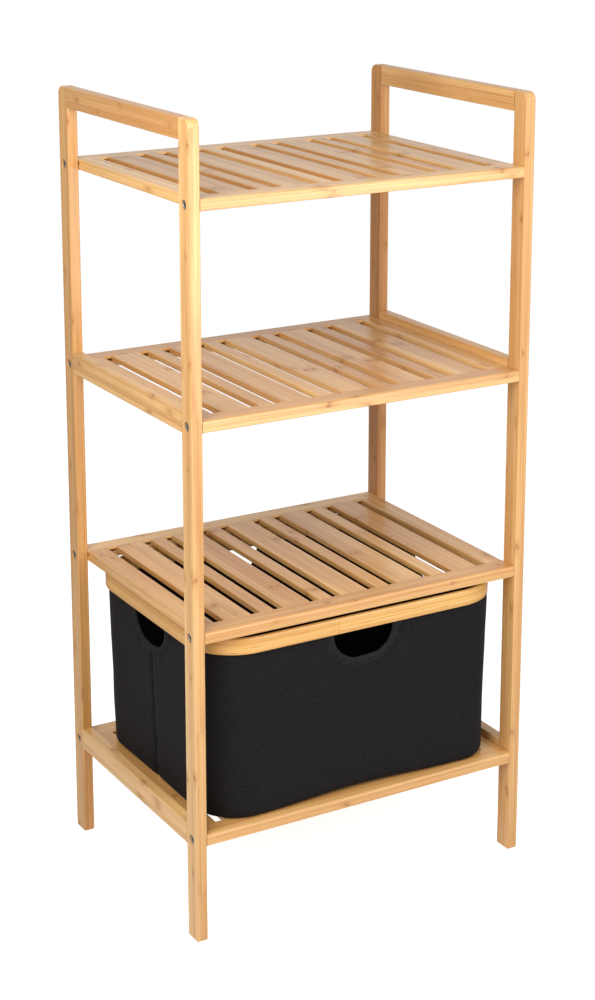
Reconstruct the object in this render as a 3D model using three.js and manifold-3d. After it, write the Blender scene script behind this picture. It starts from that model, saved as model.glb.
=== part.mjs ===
// Free-standing bamboo storage rack: two side frames, four slatted shelves bolted between them,
// and a fabric basket with a bent bamboo rim that slides out of the lowest bay.
// Millimetres, +Z up, +X to the right, +Y to the back.
// The origin is on the floor, at the centre of the rack's footprint.
import * as THREE from 'three';
import { mergeVertices } from 'three/addons/utils/BufferGeometryUtils.js';
import Module from 'manifold-3d';

// ---- driving dimensions ----------------------------------------------------
const RACK_WIDTH = 450;
const RACK_DEPTH = 334;
const RACK_HEIGHT = 950;
const TOUCH_GAP = 0.3; // left between pieces that touch

const POST_WIDTH = 13.5; // along X
const POST_DEPTH = 24; // along Y
const POST_TOP_RADIUS = 10; // outer top corner of each post
const POST_CORNER_RADIUS = 1.8; // its other corners, seen from the side
const EASED_EDGE = 1.2; // small rounding on every wooden edge

const HANDLE_RAIL_HEIGHT = 24.5;
const SIDE_RAIL_HEIGHT = 25.5;
const SIDE_RAIL_RISE = 9.5; // side rail's top above the shelf it stands beside
const TENON_WIDTH = 6.5;
const TENON_HEIGHT = 15;
const TENON_LENGTH = 5.4;

const TOP_SHELF_HEIGHT = 864;
const SHELF_PITCH = 244.5;
const SHELF_THICKNESS = 13;
const RAIL_DEPTH = 25.7; // front and rear rail of a shelf, along Y
const END_BOARD_WIDTH = 25;
const SLAT_THICKNESS = 7;
const WIDE_SLAT = 35.5;
const NARROW_SLAT = 17.5;
const SLAT_GAP = 12.5;
const SLAT_WIDTHS = [
  WIDE_SLAT, NARROW_SLAT, WIDE_SLAT, NARROW_SLAT, WIDE_SLAT, NARROW_SLAT, WIDE_SLAT, NARROW_SLAT, WIDE_SLAT,
];
const GROOVE_LIP = 2.8; // wood left above the groove in a rail
const GROOVE_HEIGHT = 4.4;
const GROOVE_DEPTH = 8;

const COUNTERBORE_RADIUS = 5.85;
const COUNTERBORE_DEPTH = 6;
const BOLT_HOLE_RADIUS = 3.3;
const BOLT_HEAD_RADIUS = 4.9;
const BOLT_HEAD_HEIGHT = 4.6;
const BOLT_SHANK_RADIUS = 3;
const BOLT_REACH = 30; // how far the bolt goes into a shelf rail
const INSERT_RADIUS = 4.1;
const INSERT_LENGTH = 15;
const HEX_SOCKET_RADIUS = 2.9;
const HEX_SOCKET_DEPTH = 2.8;

const BASKET_WIDTH = 410;
const BASKET_DEPTH = 322;
const BASKET_CENTRE_Y = -3.5;
const BASKET_CORNER_RADIUS = 64;
const RIM_BOTTOM = 337;
const RIM_HEIGHT = 22;
const RIM_THICKNESS = 12;
const RIM_EASED_EDGE = 1.6;
const RIM_JOINT_X = -38; // where the ends of the bent strip meet, in the front
const BAG_INSET_TOP = 4.5; // bag's outer face behind the rim's outer face
const BAG_INSET_BOTTOM = 8.5;
const BAG_WALL = 2;
const BAG_BOTTOM_RADIUS = 10;
const BAG_TUCK = 8; // how far the bag's top edge goes up into the rim's groove
const BASE_BOARD_THICKNESS = 3;
const HAND_HOLE_WIDTH = 82;
const HAND_HOLE_DEPTH = 36;

// ---- worked-out dimensions -------------------------------------------------
const POST_X = (RACK_WIDTH - POST_WIDTH) / 2;
const POST_Y = (RACK_DEPTH - POST_DEPTH) / 2;
const SIDE_OPENING = RACK_DEPTH - 2 * POST_DEPTH; // between the posts of one side frame
const SHELF_WIDTH = RACK_WIDTH - 2 * POST_WIDTH - 2 * TOUCH_GAP;
const SHELF_NAMES = ['top_shelf', 'second_shelf', 'third_shelf', 'bottom_shelf'];
const SHELF_HEIGHTS = SHELF_NAMES.map((_, level) => TOP_SHELF_HEIGHT - level * SHELF_PITCH);
const RAIL_Y = (RACK_DEPTH - RAIL_DEPTH) / 2;
const SLAT_SPAN = RACK_DEPTH - 2 * RAIL_DEPTH - 2 * TOUCH_GAP; // shoulder to shoulder
const TONGUE_HEIGHT = GROOVE_HEIGHT - 2 * TOUCH_GAP;
const TONGUE_REACH = SLAT_SPAN + 2 * GROOVE_DEPTH;
const TONGUE_Z = -GROOVE_LIP - GROOVE_HEIGHT / 2; // tongue's middle below the shelf's top
const BASKET_BOTTOM = SHELF_HEIGHTS[3] + 2 * TOUCH_GAP;

// ---- colours ---------------------------------------------------------------
const bamboo = () => new THREE.MeshStandardMaterial({ color: 0xe6b57a, roughness: 0.5, metalness: 0 });
const fabric = () => new THREE.MeshStandardMaterial({ color: 0x232223, roughness: 0.9, metalness: 0 });
const steel = () => new THREE.MeshStandardMaterial({ color: 0x8c8f8c, roughness: 0.35, metalness: 1 });

// ---- solids ----------------------------------------------------------------
const wasm = await Module();
wasm.setup();

const AXIS_X = new THREE.Vector3(1, 0, 0);
const AXIS_Y = new THREE.Vector3(0, 1, 0);
const AXIS_Z = new THREE.Vector3(0, 0, 1);
const ALONG_X = new THREE.Matrix4().makeBasis(AXIS_Y, AXIS_Z, AXIS_X); // a section in Y, Z
const ALONG_Y = new THREE.Matrix4().makeBasis(AXIS_X, AXIS_Z, AXIS_Y.clone().negate()); // a section in X, Z

function solid(geometry) {
  const plain = geometry.clone();
  plain.deleteAttribute('normal');
  plain.deleteAttribute('uv');
  const merged = mergeVertices(plain, 1e-4);
  return new wasm.Manifold(new wasm.Mesh({
    numProp: 3,
    vertProperties: new Float32Array(merged.attributes.position.array),
    triVerts: new Uint32Array(merged.index.array),
  }));
}

function geometryOf(body) {
  const mesh = body.getMesh();
  const geometry = new THREE.BufferGeometry();
  geometry.setAttribute('position', new THREE.BufferAttribute(new Float32Array(mesh.vertProperties), 3));
  geometry.setIndex(new THREE.BufferAttribute(new Uint32Array(mesh.triVerts), 1));
  geometry.computeVertexNormals();
  return geometry;
}

function box(width, depth, height, x, y, z) {
  return solid(new THREE.BoxGeometry(width, depth, height).translate(x, y, z));
}

function rod(radius, length, direction, x, y, z, sides = 12) {
  const geometry = new THREE.CylinderGeometry(radius, radius, length, sides);
  if (direction === 'x') geometry.rotateZ(Math.PI / 2);
  return solid(geometry.translate(x, y, z));
}

// A corner needs more steps the rounder it is.
function cornerSteps(radius) {
  if (radius < 1) return 1;
  return radius < 4 ? 2 : 8;
}

// Points of a rectangle centred on the origin, anticlockwise; radii start at the corner (-u, -v).
function roundedPoints(width, height, radii) {
  const corners = [[-1, -1], [1, -1], [1, 1], [-1, 1]];
  const points = [];
  corners.forEach(([signU, signV], corner) => {
    const radius = radii[corner];
    const centreU = signU * (width / 2 - radius);
    const centreV = signV * (height / 2 - radius);
    const steps = cornerSteps(radius);
    for (let i = 0; i <= steps; i += 1) {
      const angle = Math.PI * (1 + corner / 2 + i / steps / 2);
      points.push(new THREE.Vector2(centreU + radius * Math.cos(angle), centreV + radius * Math.sin(angle)));
    }
  });
  return points;
}

function easedSection(width, height, easing) {
  return new THREE.Shape(roundedPoints(width, height, Array(4).fill(easing)));
}

function prism(shape, length) {
  const geometry = new THREE.ExtrudeGeometry(shape, { depth: length, bevelEnabled: false, curveSegments: 2 });
  return geometry.translate(0, 0, -length / 2);
}

// A prism whose long edges and ends are eased.
function easedPrism(shape, length, easing) {
  const geometry = new THREE.ExtrudeGeometry(shape, {
    depth: length - 2 * easing,
    bevelThickness: easing,
    bevelSize: easing,
    bevelOffset: -easing,
    bevelSegments: 2,
  });
  return geometry.translate(0, 0, easing - length / 2);
}

// ---- side frames -----------------------------------------------------------
// side is -1 on the left and 1 on the right, end is -1 at the front and 1 at the back.
function post(side, end) {
  const small = POST_CORNER_RADIUS;
  const radii = end < 0 ? [small, small, small, POST_TOP_RADIUS] : [small, small, POST_TOP_RADIUS, small];
  const outline = new THREE.Shape(roundedPoints(POST_DEPTH, RACK_HEIGHT, radii));
  const blank = easedPrism(outline, POST_WIDTH, EASED_EDGE);
  blank.applyMatrix4(ALONG_X);
  blank.translate(0, 0, RACK_HEIGHT / 2);
  let body = solid(blank);
  for (const shelfTop of SHELF_HEIGHTS) {
    const z = shelfTop - SHELF_THICKNESS / 2;
    const mouth = side * (POST_WIDTH / 2);
    body = body.subtract(rod(BOLT_HOLE_RADIUS, 2 * POST_WIDTH, 'x', 0, 0, z));
    body = body.subtract(rod(COUNTERBORE_RADIUS, 2 * COUNTERBORE_DEPTH, 'x', mouth, 0, z));
  }
  for (const rail of SIDE_RAILS) {
    const pocket = TENON_LENGTH + TOUCH_GAP;
    const y = -end * (POST_DEPTH / 2);
    body = body.subtract(box(
      TENON_WIDTH + 2 * TOUCH_GAP, 2 * pocket, TENON_HEIGHT + 2 * TOUCH_GAP, 0, y, rail.top - rail.height / 2,
    ));
  }
  return body;
}

// A rail along Y between the posts of a side frame, with a stub tenon on each end.
function sideRail(height) {
  const section = easedSection(POST_WIDTH, height, EASED_EDGE);
  const length = SIDE_OPENING - 2 * TOUCH_GAP;
  const body = solid(prism(section, length).applyMatrix4(ALONG_Y));
  return body.add(box(TENON_WIDTH, SIDE_OPENING + 2 * TENON_LENGTH, TENON_HEIGHT, 0, 0, 0));
}

const SIDE_RAILS = [
  { name: 'handle_rail', top: RACK_HEIGHT, height: HANDLE_RAIL_HEIGHT },
  { name: 'middle_side_rail', top: SHELF_HEIGHTS[1] + SIDE_RAIL_RISE, height: SIDE_RAIL_HEIGHT },
  { name: 'lower_side_rail', top: SHELF_HEIGHTS[3] + SIDE_RAIL_RISE, height: SIDE_RAIL_HEIGHT },
];

// ---- shelves ---------------------------------------------------------------
// Front rail of a shelf: its top is at z = 0 and its front face looks to -Y. A groove in its
// back edge takes the tongues of the slats, and each end takes a bolt with its insert.
function shelfRail() {
  const front = -RAIL_DEPTH / 2;
  const back = RAIL_DEPTH / 2;
  const bullnose = 3;
  const underside = -SHELF_THICKNESS;
  const section = new THREE.Shape();
  section.moveTo(back, underside);
  section.lineTo(back, -GROOVE_LIP - GROOVE_HEIGHT);
  section.lineTo(back - GROOVE_DEPTH, -GROOVE_LIP - GROOVE_HEIGHT);
  section.lineTo(back - GROOVE_DEPTH, -GROOVE_LIP);
  section.lineTo(back, -GROOVE_LIP);
  section.lineTo(back, 0);
  section.lineTo(front + bullnose, 0);
  section.absarc(front + bullnose, -bullnose, bullnose, Math.PI / 2, Math.PI);
  section.lineTo(front, underside + EASED_EDGE);
  section.absarc(front + EASED_EDGE, underside + EASED_EDGE, EASED_EDGE, Math.PI, 1.5 * Math.PI);
  let body = solid(prism(section, SHELF_WIDTH).applyMatrix4(ALONG_X));
  const holeRadius = INSERT_RADIUS + TOUCH_GAP;
  const holeDepth = BOLT_REACH + 1;
  const axisY = POST_DEPTH / 2 - RAIL_DEPTH / 2;
  for (const end of [-1, 1]) {
    const x = end * SHELF_WIDTH / 2;
    body = body.subtract(rod(holeRadius, 2 * holeDepth, 'x', x, axisY, -SHELF_THICKNESS / 2));
  }
  return body;
}

// A board along Y whose ends carry tongues; its top is at z = 0.
function tonguedBoard(width, thickness, easing) {
  const section = easedSection(width, thickness, easing);
  const board = prism(section, SLAT_SPAN).applyMatrix4(ALONG_Y).translate(0, 0, -thickness / 2);
  return solid(board).add(box(width - 2 * easing, TONGUE_REACH, TONGUE_HEIGHT, 0, 0, TONGUE_Z));
}

function slatCentres() {
  let left = -SHELF_WIDTH / 2 + END_BOARD_WIDTH;
  return SLAT_WIDTHS.map((width) => {
    const centre = left + SLAT_GAP + width / 2;
    left += SLAT_GAP + width;
    return centre;
  });
}

// The nine slats of one shelf, held together by the two tongue strips in the rails' grooves.
function joinedSlats() {
  const centres = slatCentres();
  const last = SLAT_WIDTHS.length - 1;
  const stripStart = centres[0] - SLAT_WIDTHS[0] / 2 + 1;
  const stripEnd = centres[last] + SLAT_WIDTHS[last] / 2 - 1;
  const stripDepth = GROOVE_DEPTH - TOUCH_GAP;
  let body = null;
  SLAT_WIDTHS.forEach((width, i) => {
    const geometry = geometryOf(tonguedBoard(width, SLAT_THICKNESS, 0.8)).translate(centres[i], 0, 0);
    const slat = solid(geometry);
    body = body ? body.add(slat) : slat;
  });
  for (const end of [-1, 1]) {
    const y = end * (TONGUE_REACH - stripDepth) / 2;
    const middle = (stripStart + stripEnd) / 2;
    body = body.add(box(stripEnd - stripStart, stripDepth, TONGUE_HEIGHT, middle, y, TONGUE_Z));
  }
  return body;
}

// ---- bolts -----------------------------------------------------------------
// A socket-head bolt along X with its threaded insert: x = 0 is the post's outer face, and the
// bolt points to +X.
function bolt() {
  const underHead = COUNTERBORE_DEPTH - TOUCH_GAP;
  const headFace = underHead - BOLT_HEAD_HEIGHT;
  const insertStart = POST_WIDTH + 2 * TOUCH_GAP;
  const insertEnd = insertStart + INSERT_LENGTH;
  const tip = POST_WIDTH + BOLT_REACH;
  const profile = [
    [0, headFace], [BOLT_HEAD_RADIUS - 0.6, headFace], [BOLT_HEAD_RADIUS, headFace + 0.6],
    [BOLT_HEAD_RADIUS, underHead], [BOLT_SHANK_RADIUS, underHead], [BOLT_SHANK_RADIUS, insertStart],
    [INSERT_RADIUS, insertStart], [INSERT_RADIUS, insertEnd], [BOLT_SHANK_RADIUS, insertEnd],
    [BOLT_SHANK_RADIUS, tip], [0, tip],
  ].map(([radius, along]) => new THREE.Vector2(radius, along));
  const turned = solid(new THREE.LatheGeometry(profile, 10).rotateZ(-Math.PI / 2));
  const socket = rod(HEX_SOCKET_RADIUS, 2 * HEX_SOCKET_DEPTH, 'x', headFace, 0, 0, 6);
  return turned.subtract(socket);
}

// ---- basket ----------------------------------------------------------------
function basketPoints(inset) {
  const radii = Array(4).fill(BASKET_CORNER_RADIUS - inset);
  return roundedPoints(BASKET_WIDTH - 2 * inset, BASKET_DEPTH - 2 * inset, radii);
}

function ringShape(outerInset, innerInset) {
  const shape = new THREE.Shape(basketPoints(outerInset));
  shape.holes.push(new THREE.Path(basketPoints(innerInset)));
  return shape;
}

// The rim is one bent strip; its ends meet at RIM_JOINT_X, and a groove below takes the bag.
function basketRim() {
  const strip = easedPrism(ringShape(0, RIM_THICKNESS), RIM_HEIGHT, RIM_EASED_EDGE);
  const rimMiddle = RIM_BOTTOM + RIM_HEIGHT / 2;
  const grooveDepth = BAG_TUCK + TOUCH_GAP;
  const grooveEdge = BAG_INSET_TOP - TOUCH_GAP;
  const groove = prism(ringShape(grooveEdge, grooveEdge + BAG_WALL + 2 * TOUCH_GAP), 2 * grooveDepth);
  const joint = box(TOUCH_GAP, 4 * RIM_THICKNESS, 2 * RIM_HEIGHT, RIM_JOINT_X, -BASKET_DEPTH / 2, rimMiddle);
  return solid(strip.translate(0, 0, rimMiddle)).subtract(solid(groove.translate(0, 0, RIM_BOTTOM))).subtract(joint);
}

// A closed shell of stacked rounded-rectangle sections, each { z, inset }.
function loft(sections) {
  const positions = [];
  const triangles = [];
  const rings = sections.map(({ z, inset }) => basketPoints(inset).map((p) => [p.x, p.y, z]));
  const count = rings[0].length;
  rings.forEach((points) => points.forEach((p) => positions.push(...p)));
  for (let level = 0; level + 1 < rings.length; level += 1) {
    for (let i = 0; i < count; i += 1) {
      const a = level * count + i;
      const b = level * count + ((i + 1) % count);
      triangles.push(a, b, b + count, a, b + count, a + count);
    }
  }
  const bottomCentre = positions.length / 3;
  const topCentre = bottomCentre + 1;
  const topStart = (rings.length - 1) * count;
  positions.push(0, 0, sections[0].z, 0, 0, sections[sections.length - 1].z);
  for (let i = 0; i < count; i += 1) {
    const next = (i + 1) % count;
    triangles.push(bottomCentre, next, i, topCentre, topStart + i, topStart + next);
  }
  const geometry = new THREE.BufferGeometry();
  geometry.setAttribute('position', new THREE.Float32BufferAttribute(positions, 3));
  geometry.setIndex(triangles);
  return solid(geometry);
}

// Sections from the rounded bottom edge up to the rim, for a wall that lies `wall` further in.
function bagSections(wall, lift, topZ) {
  const bottom = BASKET_BOTTOM + lift;
  const steps = [0, 1 / 3, 2 / 3, 1];
  const sections = steps.map((t) => {
    const angle = t * Math.PI / 2;
    return {
      z: bottom + BAG_BOTTOM_RADIUS * (1 - Math.cos(angle)),
      inset: BAG_INSET_BOTTOM + wall + BAG_BOTTOM_RADIUS * (1 - Math.sin(angle)),
    };
  });
  sections.push({ z: RIM_BOTTOM, inset: BAG_INSET_TOP + wall });
  sections.push({ z: topZ, inset: BAG_INSET_TOP + wall });
  return sections;
}

// Half-moon finger opening in the plane of a wall; its straight edge is the rim's underside.
function handHole(length) {
  const shape = new THREE.Shape();
  const squareness = 2 / 2.4;
  const steps = 12;
  const half = HAND_HOLE_WIDTH / 2;
  shape.moveTo(half, BAG_TUCK + 2);
  for (let i = 0; i <= steps; i += 1) {
    const angle = Math.PI * i / steps;
    const across = Math.sign(Math.cos(angle)) * Math.abs(Math.cos(angle)) ** squareness;
    const down = Math.abs(Math.sin(angle)) ** squareness;
    shape.lineTo(half * across, -HAND_HOLE_DEPTH * down);
  }
  shape.lineTo(-half, BAG_TUCK + 2);
  return prism(shape, length);
}

function basketBag() {
  const top = RIM_BOTTOM + BAG_TUCK;
  const outside = loft(bagSections(0, 0, top));
  const inside = loft(bagSections(BAG_WALL, BAG_WALL, top + BAG_WALL));
  const throughFrontAndBack = handHole(2 * BASKET_DEPTH).applyMatrix4(ALONG_Y).translate(0, 0, RIM_BOTTOM);
  const throughSides = handHole(2 * BASKET_WIDTH).applyMatrix4(ALONG_X).translate(0, 0, RIM_BOTTOM);
  return outside.subtract(inside).subtract(solid(throughFrontAndBack)).subtract(solid(throughSides));
}

function baseBoard() {
  const inset = BAG_INSET_BOTTOM + BAG_WALL + BAG_BOTTOM_RADIUS + 1;
  return solid(prism(new THREE.Shape(basketPoints(inset)), BASE_BOARD_THICKNESS));
}

// ---- assembly --------------------------------------------------------------
const rack = new THREE.Group();

function place(group, name, body, material, x, y, z, turn = 0) {
  const mesh = new THREE.Mesh(geometryOf(body), material);
  mesh.name = name;
  mesh.position.set(x, y, z);
  mesh.rotation.z = turn;
  group.add(mesh);
}

function sideFrame(side, sideName) {
  const frame = new THREE.Group();
  frame.position.x = side * POST_X;
  place(frame, `post_front_${sideName}`, post(side, -1), bamboo(), 0, -POST_Y, 0);
  place(frame, `post_rear_${sideName}`, post(side, 1), bamboo(), 0, POST_Y, 0);
  for (const rail of SIDE_RAILS) {
    place(frame, `${rail.name}_${sideName}`, sideRail(rail.height), bamboo(), 0, 0, rail.top - rail.height / 2);
  }
  return frame;
}

function shelf(name, level) {
  const group = new THREE.Group();
  group.position.z = SHELF_HEIGHTS[level];
  place(group, `${name}_front_rail`, shelfRail(), bamboo(), 0, -RAIL_Y, 0);
  place(group, `${name}_rear_rail`, shelfRail(), bamboo(), 0, RAIL_Y, 0, Math.PI);
  const endBoardX = (SHELF_WIDTH - END_BOARD_WIDTH) / 2;
  const endBoard = tonguedBoard(END_BOARD_WIDTH, SHELF_THICKNESS, EASED_EDGE);
  place(group, `${name}_end_board_left`, endBoard, bamboo(), -endBoardX, 0, 0);
  place(group, `${name}_end_board_right`, endBoard, bamboo(), endBoardX, 0, 0);
  if (level === 0) {
    slatCentres().forEach((centre, i) => {
      const slat = tonguedBoard(SLAT_WIDTHS[i], SLAT_THICKNESS, 0.8);
      place(group, `${name}_slat_${i + 1}`, slat, bamboo(), centre, 0, 0);
    });
  } else {
    place(group, `${name}_slats`, joinedSlats(), bamboo(), 0, 0, 0);
  }
  const fasteners = bolt();
  for (const [end, endName] of [[-1, 'front'], [1, 'rear']]) {
    for (const [side, sideName] of [[-1, 'left'], [1, 'right']]) {
      const turn = side < 0 ? 0 : Math.PI;
      const x = side * RACK_WIDTH / 2;
      place(group, `${name}_bolt_${endName}_${sideName}`, fasteners, steel(), x, end * POST_Y,
        -SHELF_THICKNESS / 2, turn);
    }
  }
  return group;
}

function basket() {
  const group = new THREE.Group();
  group.position.y = BASKET_CENTRE_Y;
  place(group, 'basket_rim', basketRim(), bamboo(), 0, 0, 0);
  place(group, 'basket_bag', basketBag(), fabric(), 0, 0, 0);
  const boardZ = BASKET_BOTTOM + BAG_WALL + TOUCH_GAP + BASE_BOARD_THICKNESS / 2;
  place(group, 'basket_base_board', baseBoard(), fabric(), 0, 0, boardZ);
  return group;
}

rack.add(sideFrame(-1, 'left'), sideFrame(1, 'right'));
SHELF_NAMES.forEach((name, level) => rack.add(shelf(name, level)));
rack.add(basket());

export default rack;
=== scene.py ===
import math

import bmesh
import bpy
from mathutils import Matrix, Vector, noise


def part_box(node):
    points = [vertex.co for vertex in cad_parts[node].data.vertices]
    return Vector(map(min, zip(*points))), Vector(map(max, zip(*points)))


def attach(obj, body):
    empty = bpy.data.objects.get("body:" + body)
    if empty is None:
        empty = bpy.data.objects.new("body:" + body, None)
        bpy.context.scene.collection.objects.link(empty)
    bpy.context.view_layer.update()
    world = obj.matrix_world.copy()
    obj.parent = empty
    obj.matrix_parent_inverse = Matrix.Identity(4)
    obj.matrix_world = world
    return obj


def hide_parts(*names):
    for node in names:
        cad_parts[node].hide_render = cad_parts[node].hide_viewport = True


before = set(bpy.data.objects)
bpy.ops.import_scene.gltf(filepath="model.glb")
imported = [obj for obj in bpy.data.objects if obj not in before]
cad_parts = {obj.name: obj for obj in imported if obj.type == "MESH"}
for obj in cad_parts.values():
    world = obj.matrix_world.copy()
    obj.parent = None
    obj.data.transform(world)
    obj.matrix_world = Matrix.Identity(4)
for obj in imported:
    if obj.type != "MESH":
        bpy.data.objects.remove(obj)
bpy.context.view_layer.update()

MM = 0.001
SHELVES = ("top_shelf", "second_shelf", "third_shelf", "bottom_shelf")


# ---- node helpers -----------------------------------------------------------
class Tree:
    """A node tree with short calls for the nodes that the finishes and pieces here are made of."""

    def __init__(self, tree):
        self.tree = tree

    def add(self, kind, settings=None, **inputs):
        node = self.tree.nodes.new(kind)
        for name, value in (settings or {}).items():
            setattr(node, name, value)
        return self.fill(node, **inputs)

    def fill(self, node, **inputs):
        """Links or plain values for a node's inputs, by name, with _ for each space in it."""
        for label, value in inputs.items():
            self.feed(node.inputs[label.replace("_", " ")], value)
        return node

    def feed(self, socket, value):
        if isinstance(value, bpy.types.NodeSocket):
            self.tree.links.new(value, socket)
        elif value is not None:
            socket.default_value = value

    def math(self, operation, first, second=None, third=None):
        node = self.add("ShaderNodeMath", {"operation": operation})
        for socket, value in zip(node.inputs, (first, second, third)):
            self.feed(socket, value)
        return node.outputs[0]

    def add_up(self, total, parts):
        """A total with a share of each part added to it, from (part, share) pairs."""
        for part, share in parts:
            total = self.math("MULTIPLY_ADD", part, share, total)
        return total

    def vector(self, operation, first, second=None):
        node = self.add("ShaderNodeVectorMath", {"operation": operation})
        self.feed(node.inputs[0], first)
        self.feed(node.inputs[1], second)
        return node.outputs[0]

    def split(self, vector):
        return self.add("ShaderNodeSeparateXYZ", Vector=vector).outputs

    def join(self, x, y, z):
        return self.add("ShaderNodeCombineXYZ", X=x, Y=y, Z=z).outputs[0]

    def noise(self, vector, scale, detail=2.0, roughness=0.5):
        return self.add("ShaderNodeTexNoise", {"noise_dimensions": "3D"}, Vector=vector, Scale=scale,
                        Detail=detail, Roughness=roughness).outputs["Fac"]

    def chance(self, vector):
        node = self.add("ShaderNodeTexWhiteNoise", {"noise_dimensions": "3D"}, Vector=vector)
        return node.outputs["Value"], node.outputs["Color"]

    def between(self, value, low, high, start=0.0, end=1.0):
        node = self.add("ShaderNodeMapRange", {"interpolation_type": "SMOOTHSTEP"})
        for socket, given in zip(node.inputs, (value, low, high, start, end)):
            self.feed(socket, given)
        return node.outputs[0]

    def blend(self, factor, first, second, mode="MIX"):
        node = self.add("ShaderNodeMix", {"data_type": "RGBA", "blend_type": mode}, Factor=factor)
        colours = [socket for socket in node.inputs if socket.type == "RGBA"]
        self.feed(colours[0], first)
        self.feed(colours[1], second)
        return next(socket for socket in node.outputs if socket.type == "RGBA")


def name_sockets(group, inputs, outputs):
    """A group's input sockets from (label, kind, value) and its output sockets from (label, kind)."""
    for label, kind, value in inputs:
        socket = group.interface.new_socket(label, in_out="INPUT", socket_type=kind)
        if value is not None:
            socket.default_value = value
    for label, kind in outputs:
        group.interface.new_socket(label, in_out="OUTPUT", socket_type=kind)


# ---- finishes ---------------------------------------------------------------
FINISH_OUTPUTS = (
    ("Colour", "NodeSocketColor"),
    ("Roughness", "NodeSocketFloat"),
    ("Height", "NodeSocketFloat"),
)


def finish_group(name, inputs):
    """A shader node group, its tree helper, its input sockets by name, and its output node."""
    group = bpy.data.node_groups.new(name, "ShaderNodeTree")
    name_sockets(group, inputs, FINISH_OUTPUTS)
    tree = Tree(group)
    given = {socket.name: socket for socket in tree.add("NodeGroupInput").outputs}
    return group, tree, given, tree.add("NodeGroupOutput")


BOARD_STEP = (3.7, 0.613, 0.371)
STRIP_WANDER = 1.6 * MM
GLUE_LINE_START = 0.455
KNUCKLE_SPACING = 240 * MM
KNUCKLE_STAGGER = 1.7
KNUCKLE_RAGGED = 22 * MM
KNUCKLE_LINE = (0.4 * MM, 4.8 * MM)
KNUCKLE_HALO = (1 * MM, 19 * MM)
WARM_TINT = (1.0, 0.92, 0.78, 1)


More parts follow.
